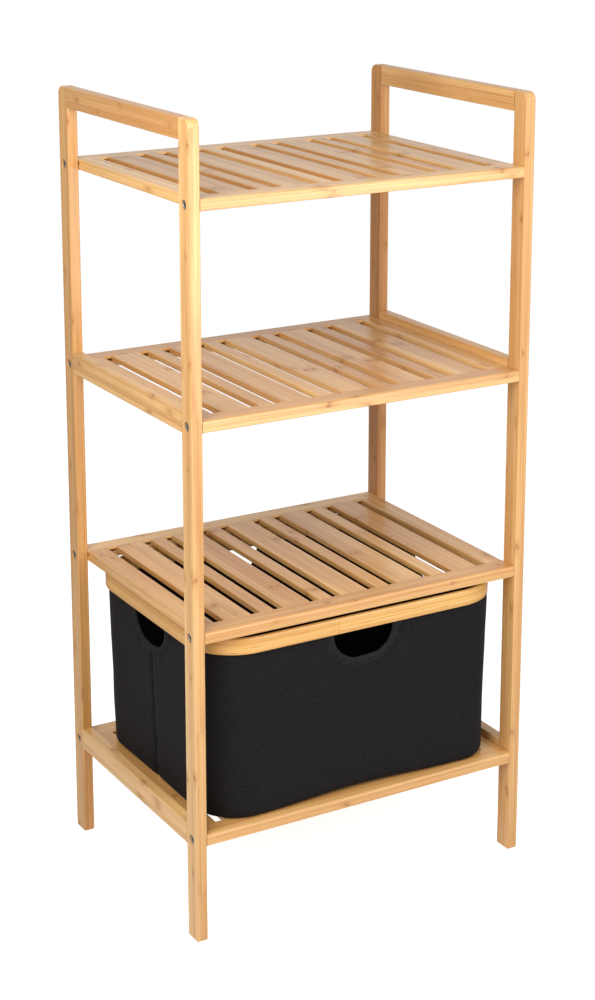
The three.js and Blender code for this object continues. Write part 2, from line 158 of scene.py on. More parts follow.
def bamboo_grain_group():
    """Laminated bamboo: strips, glue lines, fibres along X and the darker knuckles of the cane."""
    group, tree, given, result = finish_group("bamboo_grain", [
        ("Position", "NodeSocketVector", None),
        ("Board", "NodeSocketFloat", 0.5),
        ("Strip Width", "NodeSocketFloat", 6 * MM),
        ("Strip Depth", "NodeSocketFloat", 20 * MM),
        ("Knuckle Spacing", "NodeSocketFloat", KNUCKLE_SPACING),
        ("Pale", "NodeSocketColor", (0.79, 0.500, 0.205, 1)),
        ("Deep", "NodeSocketColor", (0.50, 0.236, 0.067, 1)),
        ("Knuckle", "NodeSocketColor", (0.32, 0.118, 0.020, 1)),
    ])
    shift = tree.vector("SCALE", BOARD_STEP)
    tree.fill(shift.node, Scale=given["Board"])
    place = tree.vector("ADD", given["Position"], shift)
    wander = tree.math("MULTIPLY", tree.noise(place, 5.0), STRIP_WANDER)
    along, across, depth = tree.split(place)
    across = tree.math("ADD", across, wander)
    strip = tree.math("DIVIDE", across, given["Strip Width"])
    layer = tree.math("DIVIDE", depth, given["Strip Depth"])
    strip_number = tree.math("FLOOR", strip)
    layer_number = tree.math("FLOOR", layer)
    tone, picks = tree.chance(tree.join(strip_number, layer_number, 3.1))
    phase, presence, warmth = tree.split(picks)
    from_middle = tree.math("ABSOLUTE", tree.math("SUBTRACT", tree.math("FRACT", strip), 0.5))
    glue_line = tree.between(from_middle, GLUE_LINE_START, 0.5)

    def stretched(length_scale, width_scale, detail, roughness=0.5):
        """Noise drawn out along the fibres."""
        scales = (length_scale, width_scale, width_scale)
        spot = tree.vector("MULTIPLY", tree.join(along, across, depth), scales)
        return tree.noise(spot, 1.0, detail, roughness)

    bands = stretched(1.6, 110.0, detail=3.0)
    streaks = stretched(3.6, 520.0, detail=3.0, roughness=0.62)
    fibres = stretched(9.0, 900.0, detail=4.0, roughness=0.65)
    flecks = tree.between(stretched(34.0, 1500.0, detail=1.0), 0.62, 0.76)
    patches = stretched(3.0, 28.0, detail=2.0)

    ragged = tree.math("MULTIPLY", stretched(30.0, 260.0, detail=3.0), KNUCKLE_RAGGED)
    stagger = tree.math("MULTIPLY", phase, KNUCKLE_STAGGER)
    travel = tree.math("ADD", tree.math("ADD", along, ragged), stagger)
    turns = tree.math("FRACT", tree.math("DIVIDE", travel, given["Knuckle Spacing"]))
    from_knuckle = tree.math("ABSOLUTE", tree.math("SUBTRACT", turns, 0.5))
    distance = tree.math("MULTIPLY", from_knuckle, given["Knuckle Spacing"])
    shown = tree.between(presence, 0.32, 0.56)
    broken = tree.between(stretched(60.0, 330.0, detail=2.0), 0.36, 0.62)
    patchy = tree.math("MULTIPLY", shown, broken)
    knuckle = tree.math("MULTIPLY", tree.between(distance, *KNUCKLE_LINE, 1.0, 0.0), patchy)
    halo = tree.math("MULTIPLY", tree.between(distance, *KNUCKLE_HALO, 1.0, 0.0), shown)

    board_seed = tree.math("MULTIPLY", given["Board"], 91.7)
    board_tone, _ = tree.chance(tree.join(board_seed, 1.3, 7.1))
    shade = tree.add_up(-0.08, (
        (board_tone, 0.16),
        (bands, 0.20),
        (streaks, 0.40),
        (fibres, 0.40),
        (tone, 0.14),
        (patches, 0.28),
    ))
    colour = tree.blend(tree.between(shade, 0.48, 0.93), given["Pale"], given["Deep"])
    warmer = tree.blend(1.0, colour, WARM_TINT, mode="MULTIPLY")
    colour = tree.blend(tree.math("MULTIPLY", warmth, 0.8), colour, warmer)
    marks = (
        (glue_line, 0.22, "Knuckle"),
        (flecks, 0.30, "Knuckle"),
        (halo, 0.66, "Deep"),
        (knuckle, 0.85, "Knuckle"),
    )
    for mark, strength, tint in marks:
        colour = tree.blend(tree.math("MULTIPLY", mark, strength), colour, given[tint])
    rough = tree.add_up(0.33, ((fibres, 0.16), (halo, 0.08)))
    hollows = ((fibres, 0.7), (glue_line, -0.35), (knuckle, -0.5), (flecks, -0.25))
    height = tree.add_up(tree.math("MULTIPLY", streaks, 0.3), hollows)
    tree.fill(result, Colour=colour, Roughness=rough, Height=height)
    return group


def woven_cloth_group():
    """Plain-woven cloth on a map in metres: threads over and under, slubs and slightly uneven dye."""
    group, tree, given, result = finish_group("woven_cloth", [
        ("Map", "NodeSocketVector", None),
        ("Thread Pitch", "NodeSocketFloat", 0.9 * MM),
        ("Dark", "NodeSocketColor", (0.0155, 0.0148, 0.0155, 1)),
        ("Light", "NodeSocketColor", (0.034, 0.032, 0.033, 1)),
    ])
    across, along, _ = tree.split(given["Map"])
    full_turn = tree.math("DIVIDE", 2 * math.pi, given["Thread Pitch"])
    drift = tree.math("MULTIPLY", tree.noise(given["Map"], 260.0), 0.5 * MM)

    def threads(place):
        return tree.math("SINE", tree.math("MULTIPLY", tree.math("ADD", place, drift), full_turn))

    def slub(*scales):
        return tree.noise(tree.vector("MULTIPLY", given["Map"], scales), 1.0, detail=3.0)

    weave = tree.math("MULTIPLY_ADD", tree.math("MULTIPLY", threads(across), threads(along)), 0.5, 0.5)
    both_slubs = tree.math("ADD", slub(1100.0, 60.0, 1.0), slub(60.0, 1100.0, 1.0))
    slubs = tree.math("MULTIPLY", both_slubs, 0.5)
    heather = tree.noise(given["Map"], 430.0, detail=4.0, roughness=0.75)
    cloud = tree.noise(given["Map"], 16.0, detail=3.0)
    tint = tree.add_up(tree.math("MULTIPLY", weave, 0.22), (
        (tree.between(slubs, 0.38, 0.62), 0.26),
        (tree.between(heather, 0.38, 0.62), 0.50),
        (cloud, 0.12),
    ))
    colour = tree.blend(tint, given["Dark"], given["Light"])
    rough = tree.add_up(0.74, [(slubs, 0.2)])
    tree.fill(result, Colour=colour, Roughness=rough, Height=tree.add_up(weave, [(slubs, 0.8)]))
    return group


BAMBOO_GRAIN = bamboo_grain_group()
WOVEN_CLOTH = woven_cloth_group()


def new_material(name):
    material = bpy.data.materials.new(name)
    material.use_nodes = True
    tree = Tree(material.node_tree)
    surface = material.node_tree.nodes["Principled BSDF"]
    return material, tree, surface


def finish_surface(tree, surface, colour, roughness, height, strength, distance, **constants):
    """A surface's colour, roughness and relief, and the values that are the same all over it."""
    relief = tree.add("ShaderNodeBump", Strength=strength, Distance=distance, Height=height)
    tree.fill(surface, Base_Color=colour, Roughness=roughness, Normal=relief.outputs["Normal"])
    tree.fill(surface, **constants)


def finish_bamboo(tree, surface, position, board, strip_width, strip_depth, **tints):
    grain = tree.add("ShaderNodeGroup", {"node_tree": BAMBOO_GRAIN}, Position=position, Board=board,
                     Strip_Width=strip_width, Strip_Depth=strip_depth, **tints).outputs
    finish_surface(tree, surface, grain["Colour"], grain["Roughness"], grain["Height"],
                   strength=0.35, distance=0.15 * MM,
                   Coat_Weight=0.36, Coat_Roughness=0.22, Specular_IOR_Level=0.45)


GRAIN_ORDER = {"X": (0, 2, 1), "Y": (1, 0, 2), "Z": (2, 1, 0)}


def bamboo_material(name, grain_axis, strip_width, strip_depth, board_attribute=None, **tints):
    """Lacquered bamboo with its fibres along one axis; each board takes its own stretch of cane."""
    material, tree, surface = new_material(name)
    axes = tree.split(tree.add("ShaderNodeTexCoord").outputs["Object"])
    position = tree.join(*[axes[i] for i in GRAIN_ORDER[grain_axis]])
    if board_attribute:
        board = tree.add("ShaderNodeAttribute", {"attribute_name": board_attribute}).outputs["Fac"]
    else:
        board = tree.add("ShaderNodeObjectInfo").outputs["Random"]
    finish_bamboo(tree, surface, position, board, strip_width, strip_depth, **tints)
    return material


def bent_bamboo_material():
    """The same bamboo on a strip that is bent round: its fibres follow the strip's own map."""
    material, tree, surface = new_material("bent_bamboo")
    strip_map = tree.add("ShaderNodeUVMap", {"uv_map": "strip"}).outputs["UV"]
    along, across, _ = tree.split(strip_map)
    finish_bamboo(tree, surface, tree.join(along, across, 2 * MM), 0.37, 4.4 * MM, 30 * MM,
                  Pale=(0.80, 0.500, 0.165, 1), Deep=(0.53, 0.255, 0.055, 1))
    return material


def cloth_material(name, pitch, dark, light, strength):
    """Matt cloth woven on the piece's own map."""
    material, tree, surface = new_material(name)
    cloth_map = tree.add("ShaderNodeUVMap", {"uv_map": "cloth"}).outputs["UV"]
    weave = tree.add("ShaderNodeGroup", {"node_tree": WOVEN_CLOTH}, Map=cloth_map, Thread_Pitch=pitch,
                     Dark=dark, Light=light).outputs
    finish_surface(tree, surface, weave["Colour"], weave["Roughness"], weave["Height"],
                   strength=strength, distance=0.12 * MM,
                   Sheen_Weight=0.02, Sheen_Roughness=0.4, Specular_IOR_Level=0.09)
    return material


def zinc_material():
    """Zinc-plated steel, a little green and clouded, with fine scratches."""
    material, tree, surface = new_material("zinc_plated_steel")
    coordinates = tree.add("ShaderNodeTexCoord").outputs["Object"]
    cloud = tree.noise(coordinates, 420.0, detail=4.0)
    scratches = tree.noise(tree.vector("MULTIPLY", coordinates, (300.0, 5200.0, 900.0)), 1.0)
    colour = tree.blend(cloud, (0.20, 0.205, 0.185, 1), (0.47, 0.475, 0.44, 1))
    finish_surface(tree, surface, colour, tree.add_up(0.26, [(scratches, 0.25)]), scratches,
                   strength=0.25, distance=0.03 * MM, Metallic=1.0)
    return material


def thread_material():
    """Black sewing thread with uneven plies."""
    material, tree, surface = new_material("sewing_thread")
    coordinates = tree.add("ShaderNodeTexCoord").outputs["Object"]
    ply = tree.noise(tree.vector("MULTIPLY", coordinates, (4200.0, 4200.0, 4200.0)), 1.0)
    colour = tree.blend(ply, (0.006, 0.0055, 0.0057, 1), (0.018, 0.0165, 0.0170, 1))
    finish_surface(tree, surface, colour, tree.add_up(0.55, [(ply, 0.2)]), ply,
                   strength=0.4, distance=0.05 * MM)
    return material


UPRIGHT_BAMBOO = bamboo_material("upright_bamboo", "Z", 6.1 * MM, 7.3 * MM,
                                 Pale=(0.79, 0.518, 0.225, 1), Deep=(0.52, 0.252, 0.076, 1))
# The rear posts get a darker copy of the posts' bamboo: painted shade for the light that falls off towards
# the rear.
SHADED_REAR_UPRIGHT_BAMBOO = bamboo_material("shaded_rear_upright_bamboo", "Z", 6.1 * MM, 7.3 * MM,
                                      Pale=(0.68, 0.388, 0.138, 1), Deep=(0.42, 0.178, 0.046, 1))
CROSS_BAMBOO = bamboo_material("cross_bamboo", "X", 6.5 * MM, 8.6 * MM)
DEEP_BAMBOO = bamboo_material("deep_bamboo", "Y", 7.0 * MM, 6.6 * MM)
SLAT_BAMBOO = bamboo_material("slat_bamboo", "Y", 18.0 * MM, 9.0 * MM, board_attribute="board")
BENT_BAMBOO = bent_bamboo_material()
BAG_CLOTH = cloth_material("bag_cloth", pitch=1.0 * MM, dark=(0.0025, 0.0021, 0.0023, 1),
                           light=(0.0158, 0.0139, 0.0144, 1), strength=0.5)
# The hem's cloth is lighter than the bag's: partly the hem's own lighter tone, partly a painted highlight
# for the relief of the fold.
HEM_CLOTH_WITH_PAINTED_HIGHLIGHT = cloth_material("hem_cloth_with_painted_highlight", pitch=0.8 * MM, dark=(0.0042, 0.0037, 0.0039, 1),
                           light=(0.0235, 0.0213, 0.0222, 1), strength=0.8)
ZINC = zinc_material()
THREAD = thread_material()


# ---- geometry helpers -------------------------------------------------------
def mesh_piece(name, vertices, faces, material, smooth=True):
    mesh = bpy.data.meshes.new(name)
    mesh.from_pydata(vertices, [], faces)
    mesh.polygons.foreach_set("use_smooth", [smooth] * len(mesh.polygons))
    mesh.materials.append(material)
    mesh.update()
    piece = bpy.data.objects.new(name, mesh)
    bpy.context.scene.collection.objects.link(piece)
    return piece


def ring_faces(steps, count, turned=False):
    """Quads between closed rings of count points each; turned ones go round the other way."""
    faces = []
    for near in range(0, steps * count, count):
        far = near + count
        for i in range(count):
            j = (i + 1) % count
            if turned:
                faces.append((near + i, far + i, far + j, near + j))
            else:
                faces.append((near + i, near + j, far + j, far + i))
    return faces


def smooth_by_angle(piece, degrees):
    """Smooth shading that keeps the edges sharper than the angle."""
    mesh = piece.data
    mesh.polygons.foreach_set("use_smooth", [True] * len(mesh.polygons))
    mesh.set_sharp_from_angle(angle=math.radians(degrees))


def set_map(piece, name, coordinates_of_corner):
    """A UV map from a function of (face index, vertex index)."""
    layer = piece.data.uv_layers.new(name=name)
    for polygon in piece.data.polygons:
        for loop in polygon.loop_indices:
            vertex = piece.data.loops[loop].vertex_index
            layer.data[loop].uv = coordinates_of_corner(polygon.index, vertex)


def socket_id(group, label):
    return next(item.identifier for item in group.interface.items_tree
                if item.item_type == "SOCKET" and item.in_out == "INPUT" and item.name == label)


def run_geometry_nodes(name, source, group, values):
    """The plain mesh that a geometry node group makes from a source object; the source is removed."""
    modifier = source.modifiers.new("shape", "NODES")
    modifier.node_group = group
    for label, value in values.items():
        modifier[socket_id(group, label)] = value
    depsgraph = bpy.context.evaluated_depsgraph_get()
    made = bpy.data.meshes.new_from_object(source.evaluated_get(depsgraph), depsgraph=depsgraph)
    made.name = name
    bpy.data.objects.remove(source)
    piece = bpy.data.objects.new(name, made)
    bpy.context.scene.collection.objects.link(piece)
    return piece


class GeometryTree(Tree):
    """A geometry node group with named inputs; its result is realized and given its material."""

    def __init__(self, name, inputs):
        super().__init__(bpy.data.node_groups.new(name, "GeometryNodeTree"))
        inputs = [("Geometry", "NodeSocketGeometry", None)] + inputs
        name_sockets(self.tree, inputs, [("Geometry", "NodeSocketGeometry")])
        self.given = {socket.name: socket for socket in self.add("NodeGroupInput").outputs}

    def number_from(self, node):
        """The plain number among the outputs of a node that can give other kinds too."""
        return next(socket for socket in node.outputs if socket.type == "VALUE")

    def attribute(self, name):
        return self.number_from(
            self.add("GeometryNodeInputNamedAttribute", {"data_type": "FLOAT"}, Name=name))

    def merge(self, *geometries):
        node = self.add("GeometryNodeJoinGeometry")
        for geometry in geometries:
            self.tree.links.new(geometry, node.inputs[0])
        return node.outputs[0]

    def finish(self, geometry, smooth=None):
        """Realized, with its material, and shaded smooth or flat unless it keeps its own shading."""
        made = self.add("GeometryNodeRealizeInstances", Geometry=geometry).outputs[0]
        if smooth is not None:
            made = self.add("GeometryNodeSetShadeSmooth", Geometry=made, Shade_Smooth=smooth).outputs[0]
        covered = self.add("GeometryNodeSetMaterial", Geometry=made, Material=self.given["Material"])
        self.add("NodeGroupOutput", Geometry=covered.outputs[0])
        return self.tree


# ---- slats ------------------------------------------------------------------
SLAT_COUNT = 9
WIDE_SLAT = 35.5 * MM
NARROW_SLAT = 17.5 * MM
SLAT_THICKNESS = 7 * MM
SLAT_EASING = 0.9 * MM
TONGUE_REACH = 7.6 * MM
TONGUE_DROP = 5.0 * MM
TONGUE_THICKNESS = 3.6 * MM
TONGUE_SHOULDER = 1 * MM
TONGUE_EASING = 0.3 * MM
EASING_STEPS = 3
SLAT_PLAY = 0.6 * MM
FIRST_BOARD_SEED = 3


def slat_row_group():
    """A row of slats along X, wide and narrow in turn, each with a tongue at both ends."""
    tree = GeometryTree("slat_row", [
        ("Count", "NodeSocketInt", SLAT_COUNT),
        ("Spacing", "NodeSocketFloat", 39 * MM),
        ("Wide", "NodeSocketFloat", WIDE_SLAT),
        ("Narrow", "NodeSocketFloat", NARROW_SLAT),
        ("Length", "NodeSocketFloat", 280 * MM),
        ("Thickness", "NodeSocketFloat", SLAT_THICKNESS),
        ("Easing", "NodeSocketFloat", SLAT_EASING),
        ("Start", "NodeSocketVector", (0, 0, 0)),
        ("Board Seed", "NodeSocketInt", 1),
        ("Material", "NodeSocketMaterial", None),
    ])
    given = tree.given
    step = tree.join(given["Spacing"], 0.0, 0.0)
    row = tree.add("GeometryNodeMeshLine", Count=given["Count"], Start_Location=given["Start"], Offset=step)
    index = tree.add("GeometryNodeInputIndex").outputs[0]
    is_narrow = tree.math("MODULO", index, 2.0)
    pick = tree.add("FunctionNodeRandomValue", {"data_type": "FLOAT"}, Seed=given["Board Seed"])
    marked = tree.add("GeometryNodeStoreNamedAttribute", {"data_type": "FLOAT", "domain": "POINT"},
                      Geometry=row.outputs[0], Name="board", Value=tree.number_from(pick)).outputs[0]

    def bar(width, height, length, drop, easing):
        half = tree.math("MULTIPLY", length, 0.5)
        ends = [tree.join(0.0, tree.math("MULTIPLY", half, -1.0), drop), tree.join(0.0, half, drop)]
        line = tree.add("GeometryNodeCurvePrimitiveLine", Start=ends[0], End=ends[1]).outputs[0]
        section = tree.add("GeometryNodeCurvePrimitiveQuadrilateral", Width=width, Height=height).outputs[0]
        eased = tree.add("GeometryNodeFilletCurve", {"mode": "POLY"}, Curve=section,
                         Count=EASING_STEPS, Radius=easing)
        return tree.add("GeometryNodeCurveToMesh", Curve=line, Profile_Curve=eased.outputs[0],
                        Fill_Caps=True).outputs[0]

    parts = []
    is_wide = tree.math("SUBTRACT", 1.0, is_narrow)
    for width, selection in ((given["Wide"], is_wide), (given["Narrow"], is_narrow)):
        drop = tree.math("MULTIPLY", given["Thickness"], -0.5)
        body = bar(width, given["Thickness"], given["Length"], drop, given["Easing"])
        tongue_length = tree.math("ADD", given["Length"], 2 * TONGUE_REACH)
        tongue_width = tree.math("SUBTRACT", width, 2 * TONGUE_SHOULDER)
        tongue = bar(tongue_width, TONGUE_THICKNESS, tongue_length, -TONGUE_DROP, TONGUE_EASING)
        whole = tree.merge(body, tongue)
        placed = tree.add("GeometryNodeInstanceOnPoints", Points=marked, Selection=selection, Instance=whole)
        parts.append(placed.outputs[0])
    return tree.finish(tree.merge(*parts), smooth=False)


def build_slats(shelf, seed, group):
    """The loose slats of one shelf, between its rails and its end boards."""
    _, front_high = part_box(f"{shelf}_front_rail")
    rear_low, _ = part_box(f"{shelf}_rear_rail")
    _, left_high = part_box(f"{shelf}_end_board_left")
    right_low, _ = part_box(f"{shelf}_end_board_right")
    room = right_low.x - left_high.x
    wide_count = (SLAT_COUNT + 1) // 2
    slats_width = wide_count * WIDE_SLAT + (SLAT_COUNT - wide_count) * NARROW_SLAT
    gap = (room - slats_width) / (SLAT_COUNT + 1)
    start = Vector((left_high.x + gap + WIDE_SLAT / 2, (front_high.y + rear_low.y) / 2, front_high.z))
    source = mesh_piece(f"{shelf}_slat_source", [(0, 0, 0)], [], SLAT_BAMBOO)
    piece = run_geometry_nodes(f"{shelf}_slat_row", source, group, {
        "Count": SLAT_COUNT,
        "Spacing": (WIDE_SLAT + NARROW_SLAT) / 2 + gap,
        "Length": rear_low.y - front_high.y - SLAT_PLAY,
        "Start": tuple(start),
        "Board Seed": seed,
        "Material": SLAT_BAMBOO,
    })
    replaced = [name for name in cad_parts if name.startswith(f"{shelf}_slat")]
    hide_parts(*replaced)
    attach(piece, "rack")


# ---- bolts ------------------------------------------------------------------
BOLT_PROFILE = ((4.35, 0.0), (4.75, 0.12), (4.9, 0.45), (4.9, 4.6), (3.0, 4.7), (3.0, 41.0), (2.2, 42.0))
BOLT_FACE_RADIUS = 3.75 * MM
BOLT_TWIST = 0.37


def bolt_template():
    """A socket-head bolt along +X: outside face at x = 0, with a hexagon socket in it.

    Its profile is (radius, distance from the face) in millimetres.
    """
    sides = 36
    socket_radius = 2.9 * MM
    socket_depth = 2.6 * MM
    floor_drop = 0.5 * MM
    floor_share = 0.55
    bevel_depth = 0.25 * MM
    bevel_width = 0.22 * MM
    lip_depth = 0.03 * MM
    turn = 2 * math.pi / sides
    bm = bmesh.new()

    def ring(radius_at, x):
        corners = []
        for angle in [i * turn for i in range(sides)]:
            radius = radius_at(angle)
            corners.append(bm.verts.new((x, radius * math.cos(angle), radius * math.sin(angle))))
        return corners

    def hexagon(angle):
        sixth = math.pi / 3
        return socket_radius * math.cos(sixth / 2) / math.cos((angle % sixth) - sixth / 2)

    rings = [
        ring(lambda angle: floor_share * hexagon(angle), socket_depth + floor_drop),
        ring(hexagon, socket_depth),
        ring(hexagon, bevel_depth),
        ring(lambda angle: hexagon(angle) + bevel_width, lip_depth),
        ring(lambda angle: BOLT_FACE_RADIUS, 0.0),
    ]
    for radius, x in BOLT_PROFILE:
        rings.append(ring(lambda angle, radius=radius: radius * MM, x * MM))
    bm.faces.new(list(reversed(rings[0])))
    bm.faces.new(rings[-1])
    for inner, outer in zip(rings, rings[1:]):
        for i in range(sides):
            j = (i + 1) % sides
            bm.faces.new((inner[i], inner[j], outer[j], outer[i]))
    bmesh.ops.recalc_face_normals(bm, faces=bm.faces)
    mesh = bpy.data.meshes.new("bolt_template")
    bm.to_mesh(mesh)
    bm.free()
    template = bpy.data.objects.new("bolt_template", mesh)
    bpy.context.scene.collection.objects.link(template)
    smooth_by_angle(template, degrees=35)
    return template


def bolt_set_group():
    """One bolt on each point: its own turn about Z faces it outwards, its twist turns its socket."""
    tree = GeometryTree("bolt_set", [
        ("Bolt", "NodeSocketObject", None),
        ("Material", "NodeSocketMaterial", None),
    ])
    bolt = tree.add("GeometryNodeObjectInfo", Object=tree.given["Bolt"]).outputs["Geometry"]
    angles = tree.join(tree.attribute("twist"), 0.0, tree.attribute("turn"))
    placed = tree.add("GeometryNodeInstanceOnPoints", Points=tree.given["Geometry"], Instance=bolt,
                      Rotation=angles)
    return tree.finish(placed.outputs[0])


def build_bolts():
    """All the shelf bolts, with their heads at the outer faces of the posts."""
    names = [name for name in sorted(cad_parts) if "_bolt_" in name]
    points = []
    turns = []
    twists = []
    for number, name in enumerate(names):
        low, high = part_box(name)
        on_left = name.endswith("left")
        points.append((low.x if on_left else high.x, (low.y + high.y) / 2, (low.z + high.z) / 2))
        turns.append(0.0 if on_left else math.pi)
        twists.append(BOLT_TWIST * number)
    source = mesh_piece("bolt_points", points, [], ZINC)
    for label, values in (("turn", turns), ("twist", twists)):
        source.data.attributes.new(label, "FLOAT", "POINT").data.foreach_set("value", values)
    template = bolt_template()
    values = {"Bolt": template, "Material": ZINC}
    piece = run_geometry_nodes("shelf_bolts", source, bolt_set_group(), values)
    bpy.data.objects.remove(template)
    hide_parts(*names)
    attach(piece, "rack")


# ---- basket -----------------------------------------------------------------
RIM_LOW, RIM_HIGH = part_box("basket_rim")
BASKET_CENTRE = (RIM_LOW + RIM_HIGH) / 2
HALF_WIDTH = (RIM_HIGH.x - RIM_LOW.x) / 2
HALF_DEPTH = (RIM_HIGH.y - RIM_LOW.y) / 2
CORNER_RADIUS = 64 * MM
RIM_BOTTOM = RIM_LOW.z
RIM_HEIGHT = RIM_HIGH.z - RIM_LOW.z
RIM_THICKNESS = 12 * MM
RIM_CLEARANCE = 2.2 * MM
RIM_INWARD_FALL = 5.2 * MM
RIM_EASING = 1.7 * MM
RIM_TOP_EASING = 3.2 * MM
RIM_JOINT_X = -38 * MM
RIM_JOINT_HAIR = 0.12 * MM
RIM_SIDE_STEPS = 24
RIM_CORNER_STEPS = 20
RIM_EASING_STEPS = 4
GROOVE_START = 4.2 * MM
GROOVE_END = 6.8 * MM
GROOVE_RISE = 8.3 * MM
BAG_INSET_TOP = 4.5 * MM
BAG_INSET_BOTTOM = 8.5 * MM
BAG_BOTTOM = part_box("basket_bag")[0].z
BAG_CORNER_EDGE = 6 * MM
BAG_MIDDLE_EDGE = 13 * MM
CORNER_FULLNESS = 1.6 * MM
RIGHT_CORNER_FULLNESS = 3.2 * MM
CLOTH_SHIFT = 1.0 * MM
CLOTH_THICKNESS = 1.8 * MM
CLOTH_TUCK = 7 * MM
BOARD_SHRINK = 5 * MM
HOLE_HALF_WIDTHS = (41 * MM, 41 * MM, 32 * MM, 41 * MM)
HOLE_DEPTH = 36 * MM
HOLE_SQUARENESS = 2.4
HEM_WIDTH = 9 * MM
CORE_X = HALF_WIDTH - CORNER_RADIUS
CORE_Y = HALF_DEPTH - CORNER_RADIUS
WALL_NAMES = ("front", "right", "rear", "left")
SIDE_WALLS = (1, 3)
# Each wall's direction, outward normal, half its straight length, and how far out its core line is.
WALLS = (
    (Vector((1, 0)), Vector((0, -1)), CORE_X, CORE_Y),
    (Vector((0, 1)), Vector((1, 0)), CORE_Y, CORE_X),
    (Vector((-1, 0)), Vector((0, 1)), CORE_X, CORE_Y),
    (Vector((0, -1)), Vector((-1, 0)), CORE_Y, CORE_X),
)


def core_path(corner_steps, side_steps=0, side_places=None):
    """Points (core point, outward normal, wall number, place along the wall) round the basket.

    The outline at any inset is the core point plus the normal times (corner radius - inset).
    Walls are numbered in the order of WALLS, and the points of the corners have the number None.
    """
    path = []
    for number, (direction, normal, half, away) in enumerate(WALLS):
        if side_places:
            places = side_places(number, half)
        else:
            places = [half * (2 * i / side_steps - 1) for i in range(side_steps + 1)]
        for place in places:
            path.append((normal * away + direction * place, normal, number, place))
        corner = normal * away + direction * half
        for i in range(1, corner_steps):
            angle = math.pi / 2 * i / corner_steps
            turned = normal * math.cos(angle) + direction * math.sin(angle)
            path.append((corner, turned, None, 0.0))
    return path


def rim_section():
    """The strip's section as (inset, height) points, with eased edges and the groove for the bag."""
    top = RIM_HEIGHT - RIM_CLEARANCE
    steps = RIM_EASING_STEPS
    fall = math.atan2(RIM_INWARD_FALL, RIM_THICKNESS)
    low_in = RIM_THICKNESS - RIM_EASING
    corners = (
        (RIM_EASING, RIM_EASING, RIM_EASING, math.pi, 1.5 * math.pi),
        (low_in, RIM_EASING, RIM_EASING, 1.5 * math.pi, 2 * math.pi),
        (low_in, top - RIM_INWARD_FALL - RIM_EASING, RIM_EASING, 0, 0.5 * math.pi - fall),
        (RIM_TOP_EASING, top - RIM_TOP_EASING, RIM_TOP_EASING, 0.5 * math.pi - fall, math.pi),
    )
    points = []
    for number, (inset, height, easing, start, end) in enumerate(corners):
        for i in range(steps + 1):
            angle = start + (end - start) * i / steps
            points.append((inset + easing * math.cos(angle), height + easing * math.sin(angle)))
        if number == 0:
            points += [(GROOVE_START, 0), (GROOVE_START, GROOVE_RISE)]
            points += [(GROOVE_END, GROOVE_RISE), (GROOVE_END, 0)]
    return points


def build_rim():
    """One bent strip, its two ends butted in the front with a hair-thin joint between them."""
    path = core_path(RIM_CORNER_STEPS, RIM_SIDE_STEPS)
    joint = min(range(RIM_SIDE_STEPS + 1), key=lambda i: abs(path[i][3] - RIM_JOINT_X))
    path = path[joint:] + path[:joint + 1]
    section = rim_section()
    vertices = []
    travelled = []
    distance = 0.0
    previous = None
    for number, (core, normal, _, _) in enumerate(path):
        shift = Vector((0, 0))
        if number == 0:
            shift = Vector((RIM_JOINT_HAIR, 0))
        if number == len(path) - 1:
            shift = Vector((-RIM_JOINT_HAIR, 0))
        outer = core + normal * CORNER_RADIUS + shift
        if previous is not None:
            distance += (outer - previous).length
        previous = outer
        travelled.append(distance)
        for inset, height in section:
            point = core + normal * (CORNER_RADIUS - inset) + shift
            vertices.append((BASKET_CENTRE.x + point.x, BASKET_CENTRE.y + point.y, RIM_BOTTOM + height))
    count = len(section)
    faces = ring_faces(len(path) - 1, count, turned=True)
    last = (len(path) - 1) * count
    faces.append(tuple(range(count)))
    faces.append(tuple(last + i for i in reversed(range(count))))
    piece = mesh_piece("basket_rim_strip", vertices, faces, BENT_BAMBOO)
    girth = [0.0]
    for a, b in zip(section, section[1:]):
        girth.append(girth[-1] + math.dist(a, b))
    set_map(piece, "strip", lambda face, vertex: (travelled[vertex // count], girth[vertex % count]))
    smooth_by_angle(piece, degrees=32)
    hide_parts("basket_rim")
    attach(piece, "basket")


SIDE_WALL_SHARE = 0.12
SEAM_CREASE = 2.8 * MM
SEAM_LAP = 1.5 * MM
SEAM_ROLL = 0.7 * MM
SEAM_PUCKER = 1.5 * MM
SEAM_DRAW = 1.6 * MM
BROAD_SWELL = 1.2 * MM
DRAPE = 0.9 * MM
FINE_DENTS = 0.35 * MM
WALL_SWELL = 0.9 * MM
FOOT_TUCK = 3.6 * MM
HEM_RIPPLE = 0.45 * MM
HEM_CREASE = 0.5 * MM


def cloth_top(wall, place):
    """The cloth's upper edge: in the rim's groove, or along the edge of a hand hole below it."""
    if wall is None or abs(place) >= HOLE_HALF_WIDTHS[wall]:
        return RIM_BOTTOM + CLOTH_TUCK
    share = abs(place) / HOLE_HALF_WIDTHS[wall]
    return RIM_BOTTOM - HOLE_DEPTH * (1 - share ** HOLE_SQUARENESS) ** (1 / HOLE_SQUARENESS)


def bump_of(distance, width):
    """1 at no distance, falling away on both sides over the width."""
    return math.exp(-(distance / width) ** 2)


def middle_share(wall, place):
    """1 in the middle of the front and rear walls, little on the side walls, 0 round the corners."""
    if wall is None:
        return 0.0
    if wall in SIDE_WALLS:
        return SIDE_WALL_SHARE * math.cos(math.pi / 2 * place / CORE_Y) ** 2
    return math.cos(math.pi / 2 * place / CORE_X) ** 2


def height_share(height):
    """0 at the bag's bottom and 1 at the rim."""
    return min(max((height - BAG_BOTTOM) / (RIM_BOTTOM - BAG_BOTTOM), 0.0), 1.0)


